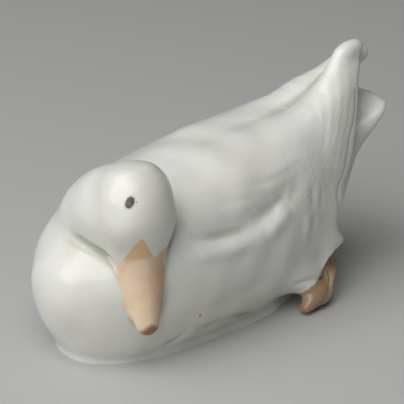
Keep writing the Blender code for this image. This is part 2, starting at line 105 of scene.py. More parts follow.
# Section k at angle a: x = ridge + (half - ridge) * cos(a)^p, z = widest + reach * sin(a)^p,
# less a bell-shaped valley over the back, and sheared backwards by lean times height.
def bodyRings(inset, steps=110, around=120):
    rows = np.asarray(body["rows"], float)
    y = np.linspace(rows[0, 0], rows[-1, 0], steps)
    columns = (column[:, None] for column in through(rows, y).T)
    half, wideZ, top, bottom, up, down, lean, valley, ridge, drop = columns
    a = circle(around)
    cosine, sine = np.cos(a), np.sin(a)
    upper = sine >= 0
    power = 2 / np.where(upper, up, down)
    ridge = np.where(upper, np.clip(ridge, 0, None), 0.0)
    x = np.sign(cosine) * ridge * np.minimum(np.abs(cosine) / body["ridgeRounding"], 1)
    x = x + np.maximum(half - ridge - inset, 0) * signedPower(cosine, power)
    reach = np.maximum(np.where(upper, top - wideZ, wideZ - bottom) - inset, 0)
    z = wideZ + reach * signedPower(sine, power)
    z = z - np.where(upper, valley * np.exp(-((x / (body["valleyShare"] * ridge + 1)) ** 2)), 0)
    z = z - np.where(upper, drop * (0.5 - 0.5 * np.tanh(x / body["dropBreadth"])) * sine, 0)
    return np.stack([x, y[:, None] + np.clip(lean, 0, None) * (z - wideZ), z], -1)


# The last ring is turned inwards, so that the wings end in an edge that stands over the rump.
def withRecess(rings):
    rim = rings[-1]
    centre = rim.mean(0)
    size = np.maximum(np.linalg.norm(rim - centre, axis=1, keepdims=True), body["wingEdge"] * 2)
    lip = centre + (rim - centre) * (1 - body["wingEdge"] / size)
    deep = centre + (lip - centre) * body["recessShare"] - np.array([0, body["wingRecess"], 0])
    return np.concatenate([rings, [lip, deep]])


tail = {
    # y, z, half width, half thickness, pitch in degrees
    "rows": [
        (30, 32, 24, 24, 0), (48, 36, 27.5, 26, 12), (64, 43, 26.4, 21.8, 25),
        (78, 51.5, 19.6, 14.4, 36), (90, 60.5, 15.8, 8.6, 40), (99, 67.5, 16.4, 5.4, 40),
        (105, 72.2, 16, 3.8, 40), (108, 74.6, 13.2, 2.3, 40), (109.2, 75.6, 9.0, 0.9, 40),
    ],
    "squareness": 0.85,
}


# Section at y: half width * cos(a)^0.85 across, thickness * sin(a) square to the pitched way.
def tailRings(inset, steps=60, around=64):
    rows = np.asarray(tail["rows"], float)
    y = np.linspace(rows[0, 0], rows[-1, 0], steps)
    z, half, thick, pitch = (c[:, None] for c in through(rows, y).T)
    a = circle(around)
    across = np.maximum(half - inset, 0.2) * signedPower(np.cos(a), tail["squareness"])
    up = np.maximum(thick - inset, 0.2) * np.sin(a)
    tilt = np.radians(pitch)
    return np.stack([across, y[:, None] - np.sin(tilt) * up, z + np.cos(tilt) * up], -1)


head = {
    "crownBack": (20.0, -45.0, 91.1),
    "billWay": (0.23, -0.035, -0.975), "crownWay": (0.883, -0.469, 0.0),
    # distance down the bill's way, half width, reach towards the crown, reach towards the throat
    "skull": [
        (0.0, 0.0, 0.0, 0.0), (1.2, 7.0, 7.0, 7.0), (5.0, 12.6, 13.0, 12.8), (11.0, 16.2, 17.0, 16.4),
        (18.0, 17.4, 18.6, 17.4), (25.0, 17.2, 18.0, 16.6), (30.0, 15.9, 15.6, 15.2),
        (34.0, 14.0, 12.4, 13.8), (38.5, 11.6, 9.2, 11.6), (43.0, 9.4, 6.2, 8.8),
    ],
    "bill": [
        (32.0, 10.4, 9.0, 8.0), (35.5, 11.2, 9.2, 7.8), (39.0, 11.0, 8.6, 7.2), (43.5, 9.4, 7.4, 6.2),
        (50.3, 8.4, 6.0, 4.8), (61.0, 6.9, 4.2, 3.8), (67.5, 5.6, 3.2, 3.2), (71.8, 4.2, 2.4, 2.6),
        (74, 1.6, 1.0, 1.2),
    ],
    "billCrest": 2.2,
    # x, y, z and radius up from the breast and round into the head
    "neck": [
        (-5, -26, 34, 27), (-6, -34, 45, 23), (-3, -40.5, 53, 20), (3.8, -44, 60.8, 18.3),
        (11.6, -46, 68.2, 17.9), (19.5, -47.4, 73.2, 17.2),
    ],
}


# Back of the crown, and unit vectors down the bill, to the crown and to the side.
def headFrame():
    down = np.array(head["billWay"]) / np.linalg.norm(head["billWay"])
    crown = np.array(head["crownWay"])
    crown = crown - crown @ down * down
    crown = crown / np.linalg.norm(crown)
    return np.array(head["crownBack"]), down, crown, np.cross(crown, down)


# Section at distance s: half width * sin(a) to the side, reach * cos(a)^p to crown or throat.
def headRings(rows, inset, crest=2.0, steps=60, around=72):
    table = np.asarray(rows, float)
    s = np.linspace(table[0, 0], table[-1, 0], steps)
    half, front, back = (c[:, None] for c in through(table, s).T)
    a = circle(around)
    cosine = np.cos(a)
    reach = np.maximum(np.where(cosine >= 0, front, back) - inset, 0.1)
    outward = reach * signedPower(cosine, np.where(cosine >= 0, 2 / crest, 1.0))
    across = np.maximum(half - inset, 0.1) * np.sin(a)
    origin, down, crown, side = headFrame()
    return origin + s[:, None, None] * down + outward[..., None] * crown + across[..., None] * side


# Round tube: each ring is centre + radius * (cos(a) * side + sin(a) * up), square to the way.
def wayRings(way, inset=0.0, steps=36, around=40):
    points = np.asarray(way, float)
    legs = np.linalg.norm(np.diff(points[:, :3], axis=0), axis=1)
    distance = np.concatenate([[0], np.cumsum(legs)])
    curve = through(np.column_stack([distance, points]), np.linspace(0, distance[-1], steps))
    centres = curve[:, :3]
    tangents = np.gradient(centres, axis=0)
    tangents = tangents / np.linalg.norm(tangents, axis=1, keepdims=True)
    side = np.cross([1.0, 0, 0], tangents)
    side = side / np.linalg.norm(side, axis=1, keepdims=True)
    up = np.cross(tangents, side)
    a = circle(around)[..., None]
    ring = np.cos(a) * side[:, None] + np.sin(a) * up[:, None]
    return centres[:, None] + ring * np.maximum(curve[:, 3] - inset, 0.3)[:, None, None]


# x, y, z and radius along each form. The wings' tips and the clay below them differ on the
# two sides; every limb has a twin that mirrors it.
wings = {
    "leftTip": [
        (6.2, 70, 85.5, 3.6), (5.6, 80, 92.8, 4.2), (4.8, 88.2, 99.2, 4.5),
        (4.2, 95.5, 100.3, 4.2), (3.8, 99.3, 99.9, 3.4),
    ],
    "rightTip": [
        (-5, 84, 87.5, 4.4), (-3.6, 95, 91.8, 4.6), (-1.6, 103.5, 94.0, 4.4), (-0.8, 107.6, 94.0, 2.8),
    ],
    "leftBlade": [(10.5, 82, 84, 3.4), (8, 88, 90, 3.4), (6, 94, 95.6, 3.2)],
    "rightBlade": [
        (-9, 82, 80, 3.6), (-7, 89.5, 84.5, 3.8), (-5, 96.5, 88, 3.6), (-3.2, 102, 90.6, 3.0),
    ],
}
limbs = {
    "tuft": [(24, 50, 28, 8.5), (28.5, 61, 26.5, 6.5), (30.5, 68, 25.5, 2.2)],
    "thigh": [(21.5, 28, 22, 9.6), (26.5, 38, 17, 10.2), (29.5, 46, 15.4, 8.0), (31, 52, 17, 4.5)],
    "shank": [(27, 55, 24, 6), (31, 56.5, 18, 4.4), (33, 54.5, 12, 4.0), (33.8, 52, 7, 4.2)],
    "web": [(33.5, 53, 8.5, 4.8), (35, 47.5, 7, 5.2), (36.2, 42.8, 5.4, 4.4), (37, 39.6, 4.2, 3.0)],
    "longToe": [(33, 53, 8, 4.4), (35.4, 45.4, 6, 4.3), (37.2, 39.4, 4.2, 3.7), (38, 36, 2.7, 2.4)],
    "outerToe": [(33.5, 53, 7, 4.2), (36.6, 50, 5, 3.5), (38.2, 46.8, 3, 2.1)],
    "innerToe": [(32, 53, 7, 4.2), (30.6, 47, 4.6, 3.2), (29.4, 43.2, 2.4, 1.7)],
}
ledge = {"front": -63.0, "rear": 57.0, "halfWidth": 28.8, "height": 4.6, "squareness": (0.9, 0.76)}


# Oval pad: half sunk below the base plane, its upper rim rounded as a quarter circle.
def ledgeRings(steps=14, around=96):
    a = circle(around)
    level = np.linspace(-1, 1, steps)[:, None]
    drawnIn = ledge["height"] * (1 - np.sqrt(1 - np.clip(level, 0, 1) ** 2))
    halfLength = (ledge["rear"] - ledge["front"]) / 2
    square = np.where(np.sin(a) < 0, *ledge["squareness"])
    x = (ledge["halfWidth"] - drawnIn) * signedPower(np.cos(a), square)
    y = (ledge["front"] + ledge["rear"]) / 2 + (halfLength - drawnIn) * signedPower(np.sin(a), square)
    return np.stack([x, y, level * ledge["height"] + 0 * x], -1)


def mirrored(points):
    return points * np.array([-1, 1, 1])


# Points with the right side turned over to the left, so that the left side's rows serve both.
def onLeft(points):
    return np.abs(points * [1, 0, 0]) + points * [0, 1, 1]


def outerForms():
    forms = [
        withRecess(bodyRings(0.0)), tailRings(0.0), wayRings(head["neck"], steps=56, around=72),
        headRings(head["skull"], 0.0), headRings(head["bill"], 0.0, head["billCrest"]), ledgeRings(),
    ]
    forms += [wayRings(way) for way in wings.values()]
    for way in limbs.values():
        rings = wayRings(way)
        forms += [rings, mirrored(rings)]
    return forms


# The same forms drawn in by the wall and kept above the floor of the casting.
def hollowForms():
    rings = bodyRings(body["wall"], steps=40, around=48)
    along = rings[:, 0, 1]
    front = body["rows"][0][0] + body["wall"]
    rear = body["rows"][-1][0] - body["wingRecess"] - body["wall"]
    rump = tailRings(body["wall"], steps=24, around=32)
    end = rump[-1, :, 1].max() - body["tailSolid"]
    forms = [
        rings[(along > front) & (along < rear)], rump[rump[:, :, 1].max(1) < end],
        wayRings(head["neck"], body["wall"], steps=20),
        headRings(head["skull"][2:-1], body["wall"], steps=20, around=28),
    ]
    return [np.concatenate([f[..., :2], np.maximum(f[..., 2:], body["floorWall"])], -1) for f in forms]


# Quads between the rings and a fan of triangles on the middle of each end ring, turned so
# that the signed volume (a sum of corner products over the faces) is positive.
def skinned(rings):
    count, around = rings.shape[:2]
    points = np.concatenate([rings.reshape(-1, 3), rings[:1].mean(1), rings[-1:].mean(1)])
    k = np.arange(around)
    following = (k + 1) % around
    first = (np.arange(count - 1) * around)[:, None]
    quads = np.stack([first + k, first + following, first + around + following, first + around + k], -1)
    quads = quads.reshape(-1, 4)
    last = (count - 1) * around
    fans = np.concatenate([
        np.stack([following, k, np.full(around, count * around)], -1),
        np.stack([last + k, last + following, np.full(around, count * around + 1)], -1),
    ])
    corners = np.concatenate([quads[:, :3], quads[:, [0, 2, 3]], fans])
    a, b, c = (points[corners[:, i]] for i in range(3))
    if (a * np.cross(b, c)).sum() < 0:
        quads, fans = quads[:, ::-1], fans[:, ::-1]
    return points, quads, fans


def placed(name, content):
    item = bpy.data.objects.new(name, content)
    bpy.context.scene.collection.objects.link(item)
    return item


# One object out of several closed forms in millimetres, each a stack of rings.
def meshObject(name, forms):
    points, faces, start = [], [], 0
    for rings in forms:
        place, quads, fans = skinned(rings)
        points.append(place)
        faces += (quads + start).tolist() + (fans + start).tolist()
        start += len(place)
    mesh = bpy.data.meshes.new(name)
    mesh.from_pydata((np.concatenate(points) * mm).tolist(), [], faces)
    mesh.update()
    return placed(name, mesh)


# Works the modifiers out, puts the result into the object and takes them off.
def settled(item):
    bpy.context.view_layer.update()
    graph = bpy.context.evaluated_depsgraph_get()
    mesh = bpy.data.meshes.new_from_object(item.evaluated_get(graph))
    item.modifiers.clear()
    item.data = mesh
    return item


# Joins overlapping forms into one closed skin of small squares.
def fused(item, voxel):
    join = item.modifiers.new("fuse", "REMESH")
    join.mode = "VOXEL"
    join.voxel_size = voxel * mm
    return settled(item)


def pointsOf(item):
    flat = np.empty(len(item.data.vertices) * 3)
    item.data.vertices.foreach_get("co", flat)
    return flat.reshape(-1, 3) / mm


def normalsOf(item):
    flat = np.empty(len(item.data.vertices) * 3)
    item.data.vertex_normals.foreach_get("vector", flat)
    return flat.reshape(-1, 3)


def edgesOf(item):
    flat = np.empty(len(item.data.edges) * 2, np.int64)
    item.data.edges.foreach_get("vertices", flat)
    return flat.reshape(-1, 2)


def movePoints(item, points):
    item.data.vertices.foreach_set("co", (points * mm).ravel())
    item.data.update()


# Each round moves a value half way, times its weight, to the mean of its neighbours.
def rubbed(values, edges, weight, rounds):
    ends = edges.ravel(order="F")
    others = edges[:, ::-1].ravel(order="F")
    count = np.maximum(np.bincount(ends, minlength=len(values)), 1)[:, None]
    for _ in range(rounds):
        sums = [np.bincount(ends, values[others, k], len(values)) for k in range(values.shape[1])]
        values = values + 0.5 * weight[:, None] * (np.stack(sums, 1) / count - values)
    return values


# Distance of each point from a polyline, and the share of the way passed at the nearest place.
def distanceToWay(points, way):
    way = np.asarray(way, float)
    best, share = np.full(len(points), np.inf), np.zeros(len(points))
    legs = np.linalg.norm(np.diff(way, axis=0), axis=1)
    passed = 0.0
    for start, end, leg in zip(way[:-1], way[1:], legs):
        t = np.clip((points - start) @ (end - start) / leg**2, 0, 1)
        distance = np.linalg.norm(points - start - t[:, None] * (end - start), axis=1)
        nearer = distance < best
        best = np.where(nearer, distance, best)
        share = np.where(nearer, (passed + t * leg) / legs.sum(), share)
        passed += leg
    return best, share


# Each fold: height (negative is a furrow), half breadth, points along it. A fold fades over
# the share "fade" of its way down to the share "ends" of its height. It acts as far as
# "reach" beyond its breadth and stops within "limit".
folds = {
    "bothFlanks": [
        (-2.6, 5.4, [(30, -27, 60), (33, -19, 55), (34.5, -9, 52.6), (35, 1, 52.6), (34.5, 13, 55),
         (34, 25, 56.5), (32.5, 35, 60), (30, 43, 64)]),
        (-0.8, 7.0, [(31, -32, 63), (34, -20, 58), (35, -7, 56), (34.5, 6, 58)]),
        (1.9, 3.8, [(35.5, -28, 50), (37.6, -18, 47.5), (37.7, -5, 46.5), (38.5, 8, 46)]),
        (2.0, 4.2, [(38.5, 14, 46), (37.5, 22, 50), (36, 30, 54.5)]),
        (-0.7, 2.2, [(31.8, 46.8, 58), (33.0, 45.8, 53), (33.8, 44.6, 48)]),
        (-0.4, 1.8, [(30.6, 52.6, 55), (31.4, 51.8, 50.5), (32, 51, 46)]),
        (-0.4, 2.6, [(34, 46, 45), (34.6, 45, 41), (35, 43.5, 37)]),
        (0.8, 3.0, [(35, 40, 48), (35.5, 40, 36)]),
        (-0.9, 5.5, [(36, -22, 19), (37, -6, 21), (37, 8, 22), (36, 20, 20)]),
        (-0.9, 1.7, [(27, -33, 5.1), (29, -30, 6.8), (30, -28, 7.8), (31, -26, 9.5), (33, -24, 12.0)]),
        (-1.2, 2.0, [(34, -25, 14.9), (34, -21, 13.8), (33, -17, 10.7), (32, -11, 9.7),
         (33, -7, 10.1), (32, -1, 9.3), (31, 7, 7.3), (28, 16, 3.5), (27, 22, 3.1), (26, 27, 2.8)]),
    ],
    "throat": [
        (-1.5, 2.4, [(3, -63, 57.5), (9, -62, 57), (14, -60.5, 55.5), (19, -59, 53), (25, -57, 49)]),
        (-0.35, 1.0, [(-1, -62, 54.3), (9.5, -61.2, 52.4), (17, -58, 50.6), (23, -56, 47.3)]),
    ],
    "fineFlank": [
        (-0.3, 1.5, [(29.9, 8, 65.6), (30.0, 15, 66.4), (30.4, 23, 65.6), (30.1, 31.7, 66.2),
         (28.4, 41.8, 67.4)]),
        (-0.3, 1.6, [(31, -4, 64), (31.4, 6, 62.6), (31.2, 16, 62.8)]),
        (0.3, 1.6, [(34.4, 22, 53), (33.6, 30, 57), (32.0, 36, 63)]),
    ],
    "foot": [
        (-0.7, 0.9, [(34.8, 59.0, 20.0), (36.4, 54.4, 14.6), (37.4, 52.3, 10.4), (38.4, 48.6, 6.6)]),
        (-0.6, 0.8, [(35.6, 53.4, 13.8), (37.2, 48.4, 10.0), (38.8, 43.6, 6.4)]),
        (-0.5, 0.8, [(35.0, 50.0, 13.6), (35.8, 44.6, 10.8), (36.4, 40.4, 8.2)]),
        (-0.8, 1.3, [(35.6, 35.0, 15.0), (36.2, 42.0, 15.2), (36.0, 48.0, 14.6), (35.4, 53.4, 16.8)]),
    ],
    "fade": 0.25, "ends": 0.25, "reach": 7.0, "limit": 4.0,
}
# Fine creases, each a shallow groove with a painted shadow line along it: each wing's rear edge over
# the rump, and each heel's fold.
shadedCreases = {
    "ways": [
        [(15.7, 86.0, 86.0), (19.1, 82.6, 78.3), (21.1, 79.7, 73.5), (23.3, 76.0, 68.9),
         (24.7, 73.8, 65.3), (26.2, 71.4, 60.8), (27.2, 69.7, 57.8), (28.7, 66.6, 54.0),
         (30.0, 62.9, 50.7), (30.8, 62.2, 46.4), (30.9, 62.8, 41.5)],
        [(35.5, 53.1, 15.6), (36.8, 53.3, 12.3), (38.1, 51.5, 10.5), (40.0, 47.6, 7.6),
         (39.8, 45.8, 4.3)],
    ],
    "depth": 0.3, "halfBreadth": 1.0,
}
# Furrows between the long feathers, each a copy of the wing's rear edge moved forward by the
# pitch and a little outwards by the lean.
feathers = {
    "edge": [(6, 92, 95), (11, 87, 86), (16, 81, 76), (22, 73, 65), (28, 66, 52)],
    "count": 5, "pitch": 4.6, "lean": 0.16, "first": 0.8, "depth": 0.16, "halfBreadth": 1.15,
}
# Seams where forms meet and the skin is rubbed smooth: radius, points along the seam. The
# front ones lie around the turned neck, the rear ones on both sides alike.
joins = {
    "front": [
        (11.0, [(-18, -46, 64), (-8, -32, 71), (4, -29, 74), (14, -29, 74), (24, -31, 70)]),
        (12.0, [(-22, -50, 52), (-16, -58, 49), (-8, -62, 50)]),
        (13.0, [(12, -62, 62), (10, -61, 72), (8, -52, 84), (9, -40, 86), (10, -31, 76)]),
        (13.0, [(0, -73, 22), (0, -73, 40)]),
    ],
    "rear": [
        (7.0, [(26, 36, 30), (33, 44, 26), (33, 54, 30), (31, 62, 33), (36, 34, 14)]),
        (6.0, [(22, 70, 48), (20, 70, 30), (14, 66, 20)]),
        (5.0, [(7, 70, 88), (7, 78, 93), (6.5, 84, 95)]),
        (6.0, [(8, 80, 93), (10, 66, 88.5), (12, 52, 84.5), (13, 40, 81.5)]),
    ],
    "reach": 1.5, "strength": 1.6,
}
touch = {"height": 0.2, "longest": 40.0, "shortest": 14.0, "waves": 26, "seed": 7}
# A crack here means a crease's painted shadow line.
farAway = 50.0   # millimetres, where no crack or colour is near


# Height = h * exp(-(distance / half breadth)^2), fading at both ends of the way. The distance
# leaves one axis out, so that the fold keeps its breadth where the surface curves away.
def fold(points, height, halfBreadth, way, droppedAxis):
    near, _ = distanceToWay(points, way)
    flat, flatWay = points.copy(), np.array(way, float)
    flat[:, droppedAxis] = 0
    flatWay[:, droppedAxis] = 0
    distance, share = distanceToWay(flat, flatWay)
    fade = np.clip(share / folds["fade"], 0, 1) * np.clip((1 - share) / folds["fade"], 0, 1)
    within = np.clip((halfBreadth * 2 + folds["reach"] - near) / folds["limit"], 0, 1)
    bell = np.exp(-((distance / halfBreadth) ** 2))
    return height * bell * (folds["ends"] + (1 - folds["ends"]) * fade) * within


# Slow unevenness left by the hand: a mean of sine waves in seeded random directions.
def handTouch(points):
    chance = np.random.default_rng(touch["seed"])
    way = chance.normal(size=(touch["waves"], 3))
    way = way / np.linalg.norm(way, axis=1, keepdims=True)
    length = chance.uniform(touch["shortest"], touch["longest"], touch["waves"])
    phase = chance.uniform(0, 2 * math.pi, touch["waves"])
    waves = np.sin(points @ (way * (2 * math.pi / length)[:, None]).T + phase)
    return touch["height"] * waves.sum(1) / math.sqrt(touch["waves"] / 2)


# Height of all folds, feather furrows and shaded creases at each point. Folds of the foot and the
# shaded creases are bells round their way in space, and those of the throat leave out y, not x.
def relief(points):
    left = onLeft(points)
    height = np.zeros(len(points))
    for row in folds["bothFlanks"] + folds["fineFlank"]:
        height += fold(left, *row, 0)
    edge = np.asarray(feathers["edge"], float)
    step = np.array([feathers["pitch"] * feathers["lean"], -feathers["pitch"], 0])
    for index in range(feathers["count"]):
        way = edge[:len(edge) - index // 2] + step * (index + feathers["first"])
        height += fold(left, -feathers["depth"], feathers["halfBreadth"], way, 0)
    for row in folds["throat"]:
        height += fold(points, *row, 1)
    for depth, halfBreadth, way in folds["foot"]:
        near, _ = distanceToWay(left, way)
        height += depth * np.exp(-((near / halfBreadth) ** 2))
    for way in shadedCreases["ways"]:
        near, _ = distanceToWay(left, way)
        height -= shadedCreases["depth"] * np.exp(-((near / shadedCreases["halfBreadth"]) ** 2))
    return height


# Distance from the nearest shaded crease, and the part of it that lies across the crease, along the
# surface: that part changes its sign over the crease, so the painted shadow line stays sharp between
# the points.
def creaseShadowFields(points, normals):
    side = np.sign(points[:, 0])
    left, facing = points.copy(), normals.copy()
    left[:, 0] *= side
    facing[:, 0] *= side
    best, field = np.full(len(points), np.inf), np.full(len(points), farAway)
    for way in shadedCreases["ways"]:
        way = np.asarray(way, float)
        for start, end in zip(way[:-1], way[1:]):
            t = np.clip((left - start) @ (end - start) / ((end - start) ** 2).sum(), 0, 1)
            offset = left - start - t[:, None] * (end - start)
            distance = np.linalg.norm(offset, axis=1)
            across = np.cross(end - start, facing)
            beside = (offset * across).sum(1) / np.maximum(np.linalg.norm(across, axis=1), 1e-6)
            field = np.where(distance < best, beside, field)
            best = np.minimum(best, distance)
    return best, field


# 1 on a seam and for a while beside it, then down to 0 at the seam's radius times the reach.
def joinWeight(points):
    weight = np.zeros(len(points))
    sides = [(row, points) for row in joins["front"] + joins["rear"]]
    sides += [(row, mirrored(points)) for row in joins["rear"]]
    for (radius, way), side in sides:
        distance, _ = distanceToWay(side, way)
        share = joins["strength"] * (1 - distance / (radius * joins["reach"]))
        weight = np.maximum(weight, np.clip(share, 0, 1))
    return weight


paint = {
    # angle round the bill from its top, in degrees, and where the bill's colour starts along it
    "billEdge": [
        (-180, 42.0), (-140, 41.5), (-118, 40.2), (-104, 38.2), (-95, 39.4), (-80, 41.2), (-66, 40.8),
        (-51, 39.2), (-25, 34.8), (-9, 31.0), (1, 28.6), (9, 32.4), (18, 36.0), (31, 38.8), (40, 39.2),
        (50, 37.4), (62, 36.4), (78, 37.4), (95, 38.6), (118, 40.2), (140, 41.5), (180, 42.0),
    ],
    "billMargin": 1.5,
    "footParts": ("shank", "web", "longToe", "outerToe", "innerToe"), "footMargin": 2.2,
    # y and the height up to which the foot's colour goes
    "footTop": [(34, 7), (38, 10), (43, 13), (47, 15.6), (51, 17.6), (55, 21.5), (60, 23.6)],
    "slackRounds": 36, "sunkRounds": 3, "hollowDepth": 0.35,
    "fanY": 97.0, "fanZ": 101.0,
}


# Along the bill s, the angle round it, the distance from its middle, and the head's or bill's
# own radius there: 1 / length of (cos(angle) / reach, sin(angle) / half width).
def billPlace(points):
    origin, down, crown, side = headFrame()
    s, c, d = ((points - origin) @ axis for axis in (down, crown, side))
    angle = np.degrees(np.arctan2(d, c))
    radius = np.zeros(len(points))
    for rows in (head["skull"], head["bill"]):
        half, front, back = np.maximum(through(rows, np.clip(s, rows[0][0], rows[-1][0])), 0.5).T
        reach = np.where(c >= 0, front, back)
        turned = np.radians(angle)
        oval = 1 / np.hypot(np.cos(turned) / reach, np.sin(turned) / half)
        radius = np.maximum(radius, np.where((s > rows[0][0]) & (s < rows[-1][0] + 1), oval, 0))
    return s, angle, np.hypot(c, d), radius


# Positive inside a colour's area, in millimetres from its edge.
def billField(points):
    s, angle, away, radius = billPlace(points)
    table = np.asarray(paint["billEdge"], float)
    edge = np.interp(angle, table[:, 0], table[:, 1])
    return np.minimum(s - edge, radius + paint["billMargin"] - away)


def footField(points):
    left = onLeft(points)
    field = np.full(len(points), -farAway)
    for name in paint["footParts"]:
        way = np.asarray(limbs[name], float)
        distance, share = distanceToWay(left, way[:, :3])
        legs = np.concatenate([[0], np.cumsum(np.linalg.norm(np.diff(way[:, :3], axis=0), axis=1))])
        radius = np.interp(share, legs / legs[-1], way[:, 3])
        field = np.maximum(field, radius + paint["footMargin"] - distance)
    rows = np.asarray(paint["footTop"], float)
    return np.minimum(field, np.interp(left[:, 1], rows[:, 0], rows[:, 1]) - left[:, 2])


def addField(item, name, values):
    layer = item.data.attributes.new(name, "FLOAT", "POINT")
    layer.data.foreach_set("value", np.ascontiguousarray(values, np.float32))


# What the glaze's colours are laid by. A point is sunk by its distance below a slackened
# skin, and wingTurn is its angle in degrees round the place where the wings' lines meet.
def addPaintFields(duck, points):
    edges, every = edgesOf(duck), np.ones(len(points))
    slack = rubbed(points, edges, every, paint["slackRounds"])
    sunk = ((slack - points) * normalsOf(duck)).sum(1)[:, None]
    sunk = rubbed(sunk, edges, every, paint["sunkRounds"])[:, 0]
    along, angle, _, _ = billPlace(points)
    near, beside = creaseShadowFields(points, normalsOf(duck))
    # How far a point is sunk lays the greenish pooled glaze and the painted shade in hollows and in the
    # foot's creases.
    addField(duck, "pooled", sunk / paint["hollowDepth"])
    addField(duck, "billInk", billField(points))
    addField(duck, "billAlong", along)
    addField(duck, "billAngle", angle)
    addField(duck, "footInk", footField(points))
    # These two fields lay the painted shadow lines along the creases.
    addField(duck, "creaseShadowNear", near)
    addField(duck, "creaseShadowBeside", beside)
    turn = np.arctan2(paint["fanZ"] - points[:, 2], paint["fanY"] - points[:, 1])
    addField(duck, "wingTurn", np.degrees(turn))


skin = {"voxel": 1.0, "joinRounds": 118, "allRounds": 12, "sharpAngle": 50.0}
casting = {
    "voxel": 3.0, "rounds": 4, "ventRadius": 4.0, "ventY": -12.0, "ventReach": 10.0, "ventSides": 48,
    "groundHalf": 150.0, "groundDepth": 100.0,
}


def outerSkin():
    duck = fused(meshObject("porcelain_duck", outerForms()), skin["voxel"])
    points, edges = pointsOf(duck), edgesOf(duck)
    print("duck: forms joined,", len(points), "points")
    points = rubbed(points, edges, joinWeight(points), skin["joinRounds"])
    points = rubbed(points, edges, np.ones(len(points)), skin["allRounds"])
    movePoints(duck, points)
    rise = relief(points) + handTouch(points)
    movePoints(duck, points + normalsOf(duck) * rise[:, None])
    print("duck: folds raised, from", round(rise.min(), 2), "to", round(rise.max(), 2), "mm")
    return duck


# The hollow follows the furrows, so that none of them comes through the wall.
def hollowTool():
    hollow = fused(meshObject("hollow", hollowForms()), casting["voxel"])
    points = pointsOf(hollow)
    points = rubbed(points, edgesOf(hollow), np.ones(len(points)), casting["rounds"])
    movePoints(hollow, points)
    furrow = np.minimum(relief(points), 0)
    movePoints(hollow, points + normalsOf(hollow) * furrow[:, None])
    return hollow


# Upright block between two heights, over a ring of corners.
def block(name, ring, low, high):
    levels = [np.column_stack([ring, np.full(len(ring), z)]) for z in (low, high)]
    return meshObject(name, [np.stack(levels)])


def cutAway(item, tool):
    step = item.modifiers.new(tool.name, "BOOLEAN")
    step.operation = "DIFFERENCE"
    step.solver = "EXACT"
    step.object = tool


# Parts the base, the faces around it and all others of more than four corners into
# triangles, so that no two triangles lie back to back at the base's rim.
def withCleanRim(item):
    onBase = 1e-7
    work = bmesh.new()
    work.from_mesh(item.data)
    low = {vert for vert in work.verts if abs(vert.co.z) < onBase}
    bmesh.ops.triangulate(work, faces=[
        face for face in work.faces if len(face.verts) > 4 or not low.isdisjoint(face.verts)
    ])
    work.to_mesh(item.data)
    work.free()


# Cuts the casting's base, its hollow and the vent between them.
def cast(duck):
    hollow = hollowTool()
    half = casting["groundHalf"]
    square = np.array([(-half, -half), (half, -half), (half, half), (-half, half)])
    ground = block("ground", square, -casting["groundDepth"], 0.0)
    turn = circle(casting["ventSides"])[0]
    rim = np.column_stack([np.cos(turn), np.sin(turn)]) * casting["ventRadius"] + [0, casting["ventY"]]
    vent = block("vent", rim, -casting["ventReach"], casting["ventReach"])
    tools = (ground, hollow, vent)
    for tool in tools:
        cutAway(duck, tool)
    settled(duck)
    withCleanRim(duck)
    for tool in tools:
        bpy.data.objects.remove(tool)
    print("duck: cast hollow, vent and base cut,", len(duck.data.polygons), "faces")


# Returns the duck on the middle of the CAD's box, and how far it was moved to get there.
def buildDuck():
    duck = outerSkin()
    cast(duck)
    points = pointsOf(duck)
    addPaintFields(duck, points)
    middle = (points.min(0) + points.max(0)) / 2
    middle[2] = points[:, 2].min()
    centre = np.array([(cadLow[k] + cadHigh[k]) / 2 for k in range(2)] + [0]) / mm
    movePoints(duck, points - middle + centre)
    duck.data.polygons.foreach_set("use_smooth", np.ones(len(duck.data.polygons), bool))
    duck.data.set_sharp_from_angle(angle=math.radians(skin["sharpAngle"]))
    print("duck: moved by", np.round(centre - middle, 2), "mm")
    return duck, centre - middle


# "#RRGGBB" as written for a screen, turned to the linear values that shaders take.
def linear(code):
    parts = [int(code[i:i + 2], 16) / 255 for i in (1, 3, 5)]
    return tuple(c / 12.92 if c <= 0.04045 else ((c + 0.055) / 1.055) ** 2.4 for c in parts) + (1.0,)


# Adds a node, sets what is given by name, and links or fills its inputs by name or number.
def addNode(tree, kind, settings=None, inputs=None):
    node = tree.nodes.new(kind)
    for name, value in (settings or {}).items():
        setattr(node, name, value)
    for name, value in (inputs or {}).items():
        if isinstance(value, bpy.types.NodeSocket):
            tree.links.new(value, node.inputs[name])
        else:
            node.inputs[name].default_value = value
    return node


def startMaterial(name):
    material = bpy.data.materials.new(name)
    material.use_nodes = True
    material.node_tree.nodes.clear()
    return material, material.node_tree


